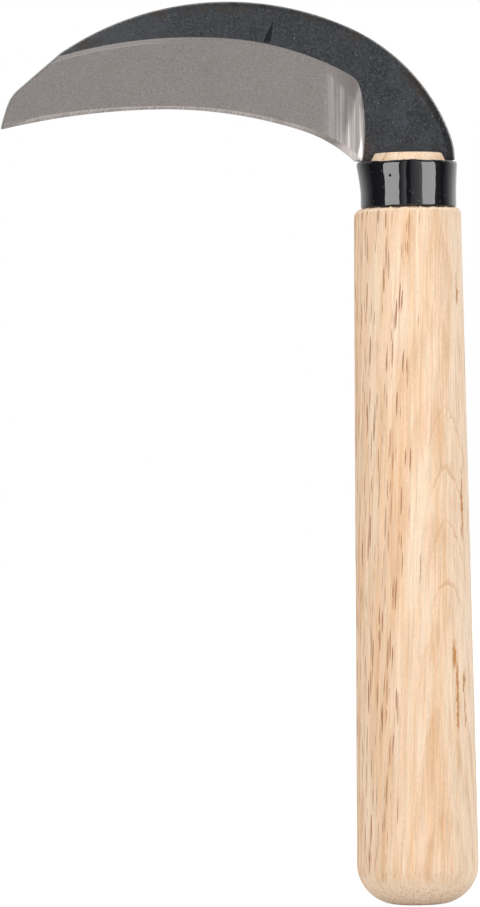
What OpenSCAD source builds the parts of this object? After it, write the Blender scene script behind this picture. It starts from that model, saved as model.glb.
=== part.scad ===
// Small one-handed sickle: a forged crescent blade, its ferrule, a turned handle and the nail that
// pins them together. Millimetres. The handle stands along +Z with the middle of its butt at the
// origin, the blade sweeps out towards -X, and its ground face looks towards -Y.

/* [Handle] */
// Length of the handle from the butt to the shoulder that carries the ferrule
handle_len = 173.5; // [150:0.5:200]
// Diameter that the tapered side reaches at the level of the butt
butt_d = 30.6; // [28:0.1:34]
// Radius of the rounding round the butt
butt_round = 10; // [6:0.5:12]
// How far the shoulder stands out past the ferrule
shoulder_step = 1.25; // [0.8:0.05:2]
// Radius of the rounding on the shoulder
shoulder_round = 1; // [0.4:0.1:1.2]
// How far the wooden neck stands out above the ferrule
neck_rise = 2.3; // [1:0.1:4]
// Diameter of the neck's top, above its bevel
neck_top_d = 16.8; // [14:0.1:18]
// Length of the bevel round the neck's top
neck_bevel = 5; // [3:0.1:7]

/* [Ferrule] */
// Outside diameter of the ferrule's barrel
ferrule_d = 24; // [22.5:0.1:26]
// Thickness of the ferrule's wall
ferrule_wall = 1; // [0.8:0.1:1.4]
// Length of the ferrule
ferrule_len = 12; // [11:0.1:16]
// Length of the flare under the ferrule's rim
flare_len = 6; // [4:0.1:8]
// How far the rim stands out past the barrel all the way round
flare_out = 0.35; // [0.2:0.05:0.5]
// How far the blade's heel has pushed the rim out past the barrel on its own side
flare_heel = 1; // [0.8:0.05:1.2]

/* [Blade outline] */
// Distance from the handle's axis to the blade's point
blade_reach = 101.4; // [95:0.1:106]
// Angle at which the cutting edge leaves the heel, from the line of the rim
heel_angle = 45; // [40:0.5:50]
// Radius of the cutting edge next to the heel
edge_heel_r = 33; // [28:0.5:40]
// Turn of that radius
edge_heel_turn = 25; // [20:0.5:28]
// Radius of the cutting edge further out
edge_mid_r = 98; // [90:1:110]
// Turn of that radius
edge_mid_turn = 17; // [14:0.5:19]
// Radius of the cutting edge from there to the point
edge_long_r = 173; // [160:1:190]
// Angle at which the spine leaves the ferrule, from the handle's axis
spine_lean = 9.5; // [7:0.5:12]
// Radius of the spine above the handle
spine_heel_r = 45; // [42:0.5:48]
// Turn of that radius
spine_heel_turn = 53; // [48:0.5:58]
// Radius of the spine from there to the point
spine_long_r = 74; // [72:0.5:78]
// Slope of the straight clip above the point
clip_angle = 38.6; // [34:0.2:43]
// Radius of the nose between the clip and the blade's end
nose_r = 6; // [4:0.5:8]
// Radius of the gently curved end of the blade
end_r = 45; // [35:1:60]
// Angle at which that end leaves the point
end_angle = 77.5; // [74:0.5:81]
// Turn of the blade's end from the point up to the nose
end_turn = 8; // [6:0.5:10]

/* [Blade section] */
// Thickness of the blade at the handle
blade_t = 2.8; // [2.4:0.1:3.4]
// Thickness that the forged face has left above the point
tip_t = 2.3; // [2:0.05:2.4]
// Thickness of the cutting edge itself
edge_t = 0.15; // [0.1:0.01:0.3]
// Width of the honed strip along the edge
hone_w = 1.2; // [0.8:0.1:2]
// Slope of the honed strip
hone_angle = 21; // [17:0.5:25]
// Distance from the heel to the line beside the handle where the ground bevel runs out
plunge_in = 1.9; // [1.4:0.1:3]
// Angle of that line at the ferrule, from the handle's axis
plunge_lean = 11; // [8:0.5:14]
// Radius of that line
plunge_r = 43; // [40:1:50]
// Turn of that radius
plunge_turn = 25; // [22:0.5:27]
// Radius of the corner between that line and the top of the bevel
corner_r = 4.6; // [3:0.2:6]
// Turn of that corner
corner_turn = 47.5; // [45:0.5:50]
// Radius of the top of the bevel next to the corner
grind_r = 82; // [78:1:88]
// Turn of that radius
grind_turn = 26; // [23:0.5:28]
// Radius of the top of the bevel from there to the point
grind_long_r = 119; // [110:1:130]
// Radius of the grinding wheel, which lifts off in an arc beside the handle
wheel_r = 20; // [15:0.5:30]
// Width of the forged facet along the spine, which ends where the ground bevel runs out at the clip
facet_w = 1.4; // [0.8:0.1:2]
// Depth of that facet at the spine
facet_t = 0.4; // [0.2:0.05:0.6]
// Width of the small chamfer on the back of the spine
back_break = 0.3; // [0.2:0.05:0.5]

/* [Neck, tang and nail] */
// How deep the blade's full-width neck goes into the ferrule
neck_depth = 9.4; // [8.5:0.1:10]
// Width of the tang below the neck
tang_w = 13; // [10:0.5:16]
// Width of the tang at its end
tang_end_w = 7; // [5:0.5:9]
// Depth of the tang's end below the ferrule's rim
tang_len = 62; // [45:1:80]
// Diameter of the nail
nail_d = 3; // [2.4:0.1:3.6]
// Diameter of the nail's head
nail_head_d = 4.8; // [4.4:0.1:6]
// Height of the nail's domed head
nail_head_h = 0.9; // [0.6:0.05:1.2]
// Depth of the nail's axis below the ferrule's rim
nail_drop = 6; // [5:0.1:6.5]
// Length of the nail's point
nail_point = 3; // [2:0.1:4]
// Wood left between the nail's point and the inside of the ferrule
nail_cover = 2; // [1.5:0.1:4]

/* [Fits] */
// Gap between surfaces that are driven or seated together
fit = 0.05; // [0.03:0.01:0.08]
// Gap between the blade and the sawn slot and mortise in the wood
slot_fit = 0.08; // [0.05:0.01:0.15]

/* [Hidden] */

$fn = 96;
GROUND_STEEL = "#8b8684";
LACQUER_BLACK = "#1a1b1d";
OAK = "#f0d4b1";
NAIL_STEEL = "#55565a";

// A cutting shape runs this far past the surface that it cuts
past = 1;

ferrule_r = ferrule_d / 2;
bore_r = ferrule_r - ferrule_wall;
neck_r = bore_r - fit;
shoulder_r = ferrule_r + shoulder_step;
rim_z = handle_len + ferrule_len;
nail_z = rim_z - nail_drop;
nail_r = nail_d / 2;
kerf_t = blade_t + 2 * slot_fit;
nail_end_y = -(bore_r - nail_cover);

// The heel has pushed the rim's ring to its own side; heel and spine end just over the rim
flare_push = flare_heel - flare_out;
heel_x = -(ferrule_r + flare_heel - 0.1);
spine_x = ferrule_r + 0.2;
seat_rise = 0.25;
foot_y = fit + seat_rise;

// The blade is drawn lying on its flat back: x as in the assembly, y up from the rim, z up from the
// back. A pose is [x, y, heading], an arc is [radius, turn], and every run of arcs turns left.
heel = [heel_x, foot_y, 180 - heel_angle];
edge_arcs = [[edge_heel_r, edge_heel_turn], [edge_mid_r, edge_mid_turn], [edge_long_r, 22]];
hone_start = [heel[0] + hone_w * sin(heel[2]), heel[1] - hone_w * cos(heel[2]), heel[2]];
hone_arcs = [for (arc = edge_arcs) [arc[0] + hone_w, arc[1]]];
plunge = [heel_x + plunge_in, foot_y, 90 - plunge_lean];
grind_arcs = [
    [plunge_r, plunge_turn],
    [corner_r, corner_turn],
    [grind_r, grind_turn],
    [grind_long_r, 60]
];
spine_foot = [spine_x, foot_y, 90 + spine_lean];
spine_arcs = [[spine_heel_r, spine_heel_turn], [spine_long_r, 75]];

hone_t = edge_t + hone_w * tan(hone_angle);
runout = sqrt(pow(wheel_r, 2) - pow(wheel_r - blade_t + edge_t, 2));
wheel_x = plunge[0] - runout;

function walk(pose, arc) = [
    pose[0] + arc[0] * (sin(pose[2] + arc[1]) - sin(pose[2])),
    pose[1] - arc[0] * (cos(pose[2] + arc[1]) - cos(pose[2])),
    pose[2] + arc[1]
];
function poses(pose, arcs, i = 0) =
    i == len(arcs) ? [pose] : concat([pose], poses(walk(pose, arcs[i]), arcs, i + 1));
function centre(pose, radius) = [pose[0] - radius * sin(pose[2]), pose[1] + radius * cos(pose[2])];

edge_poses = poses(heel, edge_arcs);
hone_poses = poses(hone_start, hone_arcs);
grind_poses = poses(plunge, grind_arcs);
spine_poses = poses(spine_foot, spine_arcs);

// The point lies on the long arc of the edge. The blade's end runs from there back to the nose, and
// the nose back to the straight clip.
long_centre = centre(edge_poses[2], edge_long_r);
point_y = long_centre[1] + sqrt(pow(edge_long_r, 2) - pow(blade_reach + long_centre[0], 2));
point = [-blade_reach, point_y, 180 + end_angle];
nose = walk(point, [end_r, -end_turn]);
clip = walk(nose, [nose_r, clip_angle + end_turn - end_angle]);

// Every section of the blade lies on a ray from this pole, which is level with the heel
pole = [-0.52 * blade_reach, foot_y];
ray_step = 1.25;
point_trim = 0.3;
function bearing(p) = atan2(p[1] - pole[1], p[0] - pole[0]);
function on_ray(angle, reach) = pole + reach * [cos(angle), sin(angle)];

// How far along a ray it meets a circle, a run of arcs, the blade's end, and the spine
function to_circle(angle, middle, radius) =
    let (d = middle - pole, b = d * [cos(angle), sin(angle)])
    b + sqrt(max(0, b * b - d * d + radius * radius));
function to_run(angle, starts, arcs, i = 0) =
    i == len(arcs) - 1 || angle <= bearing(starts[i + 1])
        ? to_circle(angle, centre(starts[i], arcs[i][0]), arcs[i][0])
        : to_run(angle, starts, arcs, i + 1);
function to_clip(angle) =
    let (d = [clip[0] - pole[0], clip[1] - pole[1]])
    (d[0] * sin(clip[2]) - d[1] * cos(clip[2])) / sin(clip[2] - angle);
function to_end(angle) =
    angle > bearing(nose) ? to_circle(angle, centre(point, end_r), end_r)
    : angle > bearing(clip) ? to_circle(angle, centre(nose, nose_r), nose_r)
    : to_clip(angle);
function to_spine(angle) =
    let (reach = to_run(angle, spine_poses, spine_arcs))
    angle > 90 ? min(reach, to_end(angle)) : reach;

// Distance of a spot from the cutting edge
function from_edge(p, i = 0) =
    let (c = centre(edge_poses[i], edge_arcs[i][0]), spot = [p[0], p[1]])
    i == len(edge_arcs) - 1 || atan2(p[1] - c[1], p[0] - c[0]) <= edge_poses[i + 1][2] - 90
        ? norm(spot - c) - edge_arcs[i][0]
        : from_edge(p, i + 1);

// Height of the forged face, of the wheel's arc beside the handle, and of the ground side, which
// reaches the forged face at a distance of width from the edge
function forged(x) = blade_t - (blade_t - tip_t) * max(0, -x) / blade_reach;
function wheel(x) =
    edge_t + wheel_r - sqrt(pow(wheel_r, 2) - pow(min(max(x - wheel_x, 0), runout), 2));
function bevel(p, width) =
    let (away = from_edge(p), share = (away - hone_w) / (width - hone_w))
    min(edge_t + away * tan(hone_angle), hone_t + (forged(p[0]) - hone_t) * share);
function ground(p, width) = min(forged(p[0]), max(wheel(p[0]), bevel(p, width)));

// Where the wheel's arc leaves the bevel on a ray, found by halving
function lift_off(angle, width, low, high, halvings = 12) =
    let (half = (low + high) / 2, p = on_ray(angle, half))
    halvings == 0 ? half
    : wheel(p[0]) > bevel(p, width) ? lift_off(angle, width, low, half, halvings - 1)
    : lift_off(angle, width, half, high, halvings - 1);

// A section runs from the edge over the honed strip, the bevel and the wheel's arc to the forged face,
// then over the spine and back along the flat side
bevel_cuts = 2;
wheel_cuts = 3;
corner_w = from_edge(grind_poses[2]);
function section(angle) =
    let (
        edge = to_run(angle, edge_poses, edge_arcs),
        spine = to_spine(angle),
        span = spine - edge,
        limit = to_run(angle, grind_poses, grind_arcs),
        forged_rim = limit < spine - facet_w,
        face = spine - min(forged_rim ? facet_w : back_break, span / 4),
        top = min(limit, face - min(facet_w, span) / 8),
        hone = min(to_run(angle, hone_poses, hone_arcs), edge + span / 4),
        width = max(from_edge(on_ray(angle, limit)), angle < bearing(grind_poses[2]) ? corner_w : 0),
        margin = (top - hone) / 8,
        lift = lift_off(angle, width, hone + margin, top - margin),
        stops = concat(
            [edge],
            [for (k = [0 : bevel_cuts - 1]) hone + (lift - hone) * k / bevel_cuts],
            [for (k = [0 : wheel_cuts]) lift + (top - lift) * k / wheel_cuts],
            [face, spine]
        ),
        front = [
            for (stop = stops)
                let (p = on_ray(angle, stop))
                [p[0], p[1], stop < limit ? ground(p, width) : forged(p[0])]
        ],
        foot = front[0],
        rim = front[len(front) - 1],
        rim_t = rim[2] - min(forged_rim ? facet_t : back_break, rim[2] / 4),
        back = on_ray(angle, spine - min(back_break, span / 8))
    )
    concat(
        [[foot[0], foot[1], 0]],
        [for (k = [0 : len(front) - 2]) front[k]],
        [[rim[0], rim[1], rim_t], [rim[0], rim[1], min(back_break, rim_t / 2)]],
        [[back[0], back[1], 0]]
    );

// A straight section of the neck or the tang, with the same number of points
function straight(y, left, right) =
    let (cuts = bevel_cuts + wheel_cuts + 2, edge_x = right - facet_w)
    concat(
        [[left, y, 0]],
        [for (k = [0 : cuts]) [left + (edge_x - left) * k / cuts, y, blade_t]],
        [[right, y, blade_t - back_break], [right, y, back_break], [right - back_break, y, 0]]
    );

neck_half = bore_r - 2 * fit;
tang_step = 0.3;
straight_rows = [
    straight(-tang_len, -tang_end_w / 2, tang_end_w / 2),
    straight(-neck_depth - tang_step, -tang_w / 2, tang_w / 2),
    straight(-neck_depth, -neck_half, neck_half),
    straight(fit, -neck_half, neck_half)
];

last_angle = bearing(point) - point_trim;
rays = ceil(last_angle / ray_step);

module blade_forging() {
    rows = concat(straight_rows, [for (k = [0 : rays]) section(last_angle * k / rays)]);
    n = len(rows[0]);
    last = len(rows) - 1;
    polyhedron(
        points = [for (row = rows) each row],
        faces = concat(
            [[for (j = [0 : n - 1]) j], [for (j = [n - 1 : -1 : 0]) last * n + j]],
            [
                for (i = [0 : last - 1], j = [0 : n - 1])
                    let (a = i * n + j, b = i * n + (j + 1) % n)
                    each [[a, a + n, b], [b, a + n, b + n]]
            ]
        )
    );
}

module blade()
    color(GROUND_STEEL)
        translate([0, blade_t / 2, rim_z]) rotate([90, 0, 0])
            difference() {
                blade_forging();
                translate([0, -nail_drop, -past]) cylinder(h = blade_t + 2 * past, r = nail_r + fit);
            }

// The tang's outline from the neck down, with play all round for the mortise
module tang_plate(play) {
    polygon([
        [-tang_w / 2 - play, past - neck_depth],
        [tang_w / 2 + play, past - neck_depth],
        [tang_w / 2 + play, -neck_depth - tang_step],
        [tang_end_w / 2 + play, -tang_len - play],
        [-tang_end_w / 2 - play, -tang_len - play],
        [-tang_w / 2 - play, -neck_depth - tang_step]
    ]);
}

// Ring under the rim whose outside leans out along an arc, drawn from the rim down
module flare(radius, out) {
    lean_r = (pow(flare_len, 2) + pow(out, 2)) / (2 * out);
    rotate_extrude()
        translate([0, -flare_len])
            difference() {
                square([radius + out, flare_len]);
                translate([radius + lean_r, 0]) circle(lean_r, $fn = 4 * $fn);
            }
}

module ferrule()
    color(LACQUER_BLACK)
        difference() {
            union() {
                translate([0, 0, handle_len]) cylinder(h = ferrule_len - flare_len, r = ferrule_r);
                translate([0, 0, rim_z]) flare(ferrule_r, flare_out);
                translate([-flare_push, 0, rim_z]) flare(ferrule_r - flare_push, flare_heel);
            }
            translate([0, 0, handle_len - past]) cylinder(h = ferrule_len + 2 * past, r = bore_r);
            translate([0, 0, nail_z]) rotate([-90, 0, 0]) cylinder(h = 2 * ferrule_r, r = nail_r + fit);
        }

// Half section of the turned handle and its neck, the axis along y
module handle_section() {
    lean = atan((butt_d / 2 - shoulder_r) / handle_len);
    butt_x = butt_d / 2 - butt_round * tan(lean) - butt_round / cos(lean);
    butt_top = butt_round * (1 + sin(lean));
    difference() {
        polygon([
            [0, 0],
            [butt_d / 2, 0],
            [shoulder_r, handle_len],
            [neck_r, handle_len],
            [neck_r, rim_z + neck_rise - neck_bevel],
            [neck_top_d / 2, rim_z + neck_rise],
            [0, rim_z + neck_rise]
        ]);
        difference() {
            translate([butt_x, -past]) square([butt_d, butt_top + past]);
            translate([butt_x, butt_round]) circle(butt_round);
        }
        difference() {
            translate([shoulder_r - shoulder_round, handle_len - shoulder_round])
                square(shoulder_round + past);
            translate([shoulder_r - shoulder_round, handle_len - shoulder_round])
                circle(shoulder_round);
        }
    }
}

module handle()
    color(OAK)
        difference() {
            rotate_extrude() handle_section();
            translate([-ferrule_r, -kerf_t / 2, rim_z - neck_depth - slot_fit])
                cube([2 * ferrule_r, kerf_t, neck_depth + neck_rise + past]);
            translate([0, kerf_t / 2, rim_z])
                rotate([90, 0, 0]) linear_extrude(height = kerf_t) tang_plate(slot_fit);
            translate([0, nail_end_y - slot_fit, nail_z])
                rotate([-90, 0, 0]) cylinder(h = 2 * ferrule_r, r = nail_r + fit);
        }

// Driven in from the back, through the ferrule and the blade's neck, into the front half of the wood
module tang_nail() {
    dome_r = (pow(nail_head_d / 2, 2) + pow(nail_head_h, 2)) / (2 * nail_head_h);
    seat_y = ferrule_r + fit;
    color(NAIL_STEEL)
        translate([0, 0, nail_z]) rotate([-90, 0, 0]) {
            translate([0, 0, nail_end_y]) cylinder(h = nail_point, r1 = nail_r / 3, r2 = nail_r);
            translate([0, 0, nail_end_y + nail_point])
                cylinder(h = seat_y - nail_end_y - nail_point, r = nail_r);
            intersection() {
                translate([0, 0, seat_y]) cylinder(h = nail_head_h, r = nail_head_d / 2);
                translate([0, 0, seat_y + nail_head_h - dome_r]) sphere(dome_r);
            }
        }
}

blade();
ferrule();
handle();
tang_nail();
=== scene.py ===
"""Looks of a small one-handed sickle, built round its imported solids.

The frame is in metres: the handle stands along +Z with the middle of its butt at the origin, the blade
sweeps out towards -X and its ground face looks towards -Y. Sizes in the classes are millimetres.
"""

import logging
import math
from dataclasses import dataclass
from enum import Enum

import bpy
import numpy as np
from mathutils import Matrix, Vector

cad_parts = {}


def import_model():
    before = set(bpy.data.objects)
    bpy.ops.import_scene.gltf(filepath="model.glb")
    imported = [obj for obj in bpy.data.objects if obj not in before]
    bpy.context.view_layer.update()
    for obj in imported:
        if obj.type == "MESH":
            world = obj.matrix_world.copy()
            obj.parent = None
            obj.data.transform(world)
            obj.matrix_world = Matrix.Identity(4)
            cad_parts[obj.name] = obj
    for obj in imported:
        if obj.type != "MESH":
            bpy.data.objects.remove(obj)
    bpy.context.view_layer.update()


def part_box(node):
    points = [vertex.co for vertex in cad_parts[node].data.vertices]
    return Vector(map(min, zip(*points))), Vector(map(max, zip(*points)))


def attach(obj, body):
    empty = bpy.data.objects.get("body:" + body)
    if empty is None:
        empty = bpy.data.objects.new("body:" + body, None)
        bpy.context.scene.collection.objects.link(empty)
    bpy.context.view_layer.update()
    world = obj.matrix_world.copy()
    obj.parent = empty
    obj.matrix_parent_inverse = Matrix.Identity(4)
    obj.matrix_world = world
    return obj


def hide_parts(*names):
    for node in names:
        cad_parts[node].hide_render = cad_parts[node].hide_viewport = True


LOG = logging.getLogger("sickle")
MM = 0.001
BODY = "root"

Faces = list[tuple[int, ...]]
Waves = tuple[tuple[int, float, float], ...]
Inputs = dict[int | str, object]


class Slot(Enum):
    """Names of the material slots."""

    STEEL = "forged_steel"
    LACQUER = "black_lacquer"
    OAK = "oak"
    NAIL = "nail_steel"


class Region(Enum):
    """Finished regions across the blade, by the number of their material on it."""

    FORGED = 0
    GROUND = 1
    HONED = 2


def linear(code: str) -> tuple[float, float, float, float]:
    """Turn an sRGB hex colour to linear.

    Args:
        code: A colour such as "#8b8684".

    Returns:
        Linear red, green, blue and an alpha of 1.
    """
    parts = [int(code[i : i + 2], 16) / 255 for i in (1, 3, 5)]
    red, green, blue = (p / 12.92 if p <= 0.04045 else ((p + 0.055) / 1.055) ** 2.4 for p in parts)
    return red, green, blue, 1.0


def add_node(
    tree: bpy.types.NodeTree,
    kind: str,
    settings: dict[str, object] | None = None,
    inputs: Inputs | None = None,
) -> bpy.types.Node:
    """Add a node with its settings and what goes into it.

    Args:
        tree: The material's or the world's node tree.
        kind: The node's type without its leading "ShaderNode".
        settings: Attributes of the node itself.
        inputs: For each input's name or number, a value, a socket, or a node whose first used output
            is taken.

    Returns:
        The new node.
    """
    node = tree.nodes.new("ShaderNode" + kind)
    for name, value in (settings or {}).items():
        setattr(node, name, value)
    for key, value in (inputs or {}).items():
        if kind == "Mix":
            key = next(i for i, s in enumerate(node.inputs) if s.enabled and s.name == key)
        if isinstance(value, bpy.types.Node):
            value = next(s for s in value.outputs if s.enabled)
        if isinstance(value, bpy.types.NodeSocket):
            tree.links.new(value, node.inputs[key])
        else:
            node.inputs[key].default_value = value
    return node


def blank_material(name: str) -> bpy.types.Material:
    """Make a material with an empty node tree."""
    material = bpy.data.materials.new(name)
    material.use_nodes = True
    material.node_tree.nodes.clear()
    return material


def place_mm(tree: bpy.types.NodeTree) -> bpy.types.Node:
    """Add the place on the object in millimetres, as a vector."""
    place = add_node(tree, "TexCoord").outputs["Object"]
    return add_node(tree, "VectorMath", {"operation": "SCALE"}, {0: place, "Scale": 1 / MM})


def finish_surface(tree: bpy.types.NodeTree, inputs: Inputs) -> None:
    """Join a Principled surface with these inputs to the material's output."""
    surface = add_node(tree, "BsdfPrincipled", None, inputs)
    add_node(tree, "OutputMaterial", None, {"Surface": surface})


def grade(
    tree: bpy.types.NodeTree,
    value: object,
    start: float,
    stop: float,
    low: float = 0.0,
    high: float = 1.0,
) -> bpy.types.Node:
    """Let a value rise smoothly from low at start to high at stop.

    Args:
        tree: The node tree.
        value: The socket or node to read.
        start: Where the change begins.
        stop: Where the change ends, which may lie below start.
        low: Result at start.
        high: Result at stop.

    Returns:
        A node with the result.
    """
    if start > stop:
        start, stop, low, high = stop, start, high, low
    limits = {"From Min": start, "From Max": stop, "To Min": low, "To Max": high}
    return add_node(tree, "MapRange", {"interpolation_type": "SMOOTHSTEP"}, {"Value": value, **limits})


def blend_colours(
    tree: bpy.types.NodeTree, share: object, under: object, over: object
) -> bpy.types.NodeSocket:
    """Lay one colour over another by a share.

    Args:
        tree: The node tree.
        share: How much of the upper colour shows.
        under: A hex colour or a socket.
        over: A hex colour or a socket.

    Returns:
        The blended colour.
    """
    lower = linear(under) if isinstance(under, str) else under
    upper = linear(over) if isinstance(over, str) else over
    node = add_node(tree, "Mix", {"data_type": "RGBA"}, {"Factor": share, "A": lower, "B": upper})
    return next(s for s in node.outputs if s.enabled)


def calc(tree: bpy.types.NodeTree, operation: str, *values: object) -> bpy.types.Node:
    """Add a math operation on these values."""
    return add_node(tree, "Math", {"operation": operation}, dict(enumerate(values)))


def split(tree: bpy.types.NodeTree, vector: object) -> bpy.types.Node:
    """Separate a vector into X, Y and Z."""
    return add_node(tree, "SeparateXYZ", None, {"Vector": vector})


def measure(tree: bpy.types.NodeTree, name: str) -> bpy.types.NodeSocket:
    """Read a number that was kept for each point of the mesh."""
    return add_node(tree, "Attribute", {"attribute_name": name}).outputs["Fac"]


def emboss(
    tree: bpy.types.NodeTree, height: object, depth_mm: float, strength: float
) -> bpy.types.Node:
    """Add the bump that a height of this depth makes."""
    inputs = {"Height": height, "Distance": depth_mm * MM, "Strength": strength}
    return add_node(tree, "Bump", None, inputs)


def scatter(
    tree: bpy.types.NodeTree, place: bpy.types.Node, cell_mm: float
) -> tuple[bpy.types.Node, bpy.types.Node]:
    """Add cells of this size, each with three drawn numbers."""
    cells = add_node(tree, "TexVoronoi", {"feature": "F1"}, {"Vector": place, "Scale": 1 / cell_mm})
    return cells, add_node(tree, "SeparateColor", None, {"Color": cells.outputs["Color"]})


def multiply(tree: bpy.types.NodeTree, *factors: object) -> bpy.types.Node:
    """Multiply several values."""
    result = factors[0]
    for factor in factors[1:]:
        result = calc(tree, "MULTIPLY", result, factor)
    return result


def weigh(tree: bpy.types.NodeTree, value: object, weight: float, other: object) -> bpy.types.Node:
    """Add a weighted value to another."""
    return calc(tree, "MULTIPLY_ADD", value, weight, other)


def soft_noise(
    tree: bpy.types.NodeTree,
    place: bpy.types.Node,
    size: tuple[float, float, float],
    detail: float = 2.0,
    roughness: float = 0.5,
) -> bpy.types.NodeSocket:
    """Add soft noise whose lumps have this size.

    Args:
        tree: The node tree.
        place: Coordinates in millimetres.
        size: Size of a lump along X, Y and Z in millimetres.
        detail: Number of finer layers.
        roughness: Strength of the finer layers.

    Returns:
        The noise, about 0.5 on average.
    """
    scale = tuple(1 / s for s in size)
    spread = add_node(tree, "Mapping", None, {"Vector": place, "Scale": scale})
    layers = {"Vector": spread, "Scale": 1.0, "Detail": detail, "Roughness": roughness}
    return add_node(tree, "TexNoise", None, layers).outputs["Fac"]


def wedge(
    tree: bpy.types.NodeTree,
    axes: bpy.types.Node,
    foot: tuple[float, float],
    top: tuple[float, float],
    half: float,
) -> bpy.types.Node:
    """Add a wedge on the blade's front face, as a share.

    Args:
        tree: The node tree.
        axes: The separated coordinates in millimetres.
        foot: X and Z of its broad end's middle.
        top: X and Z of its thin end, above the broad one.
        half: Half of its width at the foot.

    Returns:
        The share: 1 inside, 0 outside and on the back.
    """
    slope = (top[0] - foot[0]) / (top[1] - foot[1])
    aside = weigh(tree, axes.outputs["Z"], -slope, axes.outputs["X"])
    off = calc(tree, "SUBTRACT", aside, foot[0] - slope * foot[1])
    off = calc(tree, "ABSOLUTE", off)
    inside = weigh(tree, off, -1.0, grade(tree, axes.outputs["Z"], foot[1], top[1], half, 0.1))
    above = grade(tree, axes.outputs["Z"], foot[1] - 1.2, foot[1] + 0.2)
    front = grade(tree, axes.outputs["Y"], 0.3, -0.3)
    return multiply(tree, grade(tree, inside, -0.1, 0.35), above, front)


def ripple(angle: np.ndarray, waves: Waves) -> np.ndarray:
    """Sum sine waves round a turned piece.

    Args:
        angle: Angles in radians.
        waves: For each wave its count round the piece, its size and its start in radians.

    Returns:
        The sum at each angle.
    """
    return sum(size * np.sin(count * angle + start) for count, size, start in waves)


def mesh_piece(name: str, points: np.ndarray, faces: Faces, node: str) -> bpy.types.Object:
    """Make a smooth mesh object that stands for a solid and rides on the part's body.

    Args:
        name: The piece's name.
        points: Points in millimetres, one row each.
        faces: Corners of each face.
        node: The solid that it stands for.

    Returns:
        The new object.
    """
    mesh = bpy.data.meshes.new(name)
    mesh.from_pydata((points * MM).tolist(), [], faces)
    mesh.update()
    mesh.shade_smooth()
    piece = bpy.data.objects.new(name, mesh)
    bpy.context.scene.collection.objects.link(piece)
    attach(piece, BODY)
    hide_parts(node)
    return piece


def ring_faces(rows: int, columns: int, start: int = 0) -> Faces:
    """List the quads between rows of points that each close into a ring.

    Args:
        rows: Number of rows.
        columns: Points in each row.
        start: Number of the first point.

    Returns:
        Four corners for each quad.
    """
    faces = []
    for i in range(rows - 1):
        for j in range(columns):
            a, b = start + i * columns + j, start + i * columns + (j + 1) % columns
            faces.append((a, b, b + columns, a + columns))
    return faces


def mark_sharp(mesh: bpy.types.Mesh, columns: int, creases: set[int], rows: set[int]) -> None:
    """Mark the edges that run along some columns or rows of a grid as sharp.

    Args:
        mesh: A mesh whose points come row by row.
        columns: Points in each row.
        creases: Columns whose edges from row to row are sharp.
        rows: Rows whose edges from column to column are sharp.
    """
    ends = np.zeros(len(mesh.edges) * 2, np.int32)
    mesh.edges.foreach_get("vertices", ends)
    ends = ends.reshape(-1, 2)
    row, column = ends // columns, ends % columns
    along = (column[:, 0] == column[:, 1]) & np.isin(column[:, 0], list(creases))
    across = (row[:, 0] == row[:, 1]) & np.isin(row[:, 0], list(rows))
    sharp = mesh.attributes.new("sharp_edge", "BOOLEAN", "EDGE")
    sharp.data.foreach_set("value", along | across)


def keep_measure(mesh: bpy.types.Mesh, name: str, values: np.ndarray) -> None:
    """Keep one number for each point of a mesh, for its materials to read."""
    measure = mesh.attributes.new(name, "FLOAT", "POINT")
    measure.data.foreach_set("value", values.astype(np.float32))


@dataclass(frozen=True)
class Arc:
    """A bend to the left: its radius in millimetres and its turn in degrees."""

    radius: float
    turn: float


@dataclass(frozen=True)
class Pose:
    """A place in the blade's plane and a heading in degrees from the +X direction."""

    x: float
    y: float
    heading: float

    def walk(self, arc: Arc) -> "Pose":
        """Return the pose at the end of an arc that starts here."""
        a, b = math.radians(self.heading), math.radians(self.heading + arc.turn)
        x = self.x + arc.radius * (math.sin(b) - math.sin(a))
        y = self.y - arc.radius * (math.cos(b) - math.cos(a))
        return Pose(x, y, self.heading + arc.turn)

    def centre(self, radius: float) -> np.ndarray:
        """Return the centre of a left bend of this radius that starts here."""
        a = math.radians(self.heading)
        return np.array([self.x - radius * math.sin(a), self.y + radius * math.cos(a)])

    def bearing(self, pole: np.ndarray) -> float:
        """Return the direction in degrees in which this pose lies from a pole."""
        return math.degrees(math.atan2(self.y - pole[1], self.x - pole[0]))


def circle_reach(pole: np.ndarray, angle: float, middle: np.ndarray, radius: float) -> float:
    """Return how far along a ray from the pole it leaves a circle.

    Args:
        pole: The ray's start.
        angle: The ray's direction in degrees.
        middle: The circle's centre.
        radius: The circle's radius.

    Returns:
        The distance in millimetres.
    """
    d = middle - pole
    b = d @ np.array([math.cos(math.radians(angle)), math.sin(math.radians(angle))])
    return b + math.sqrt(max(0.0, b * b - d @ d + radius * radius))


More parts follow.
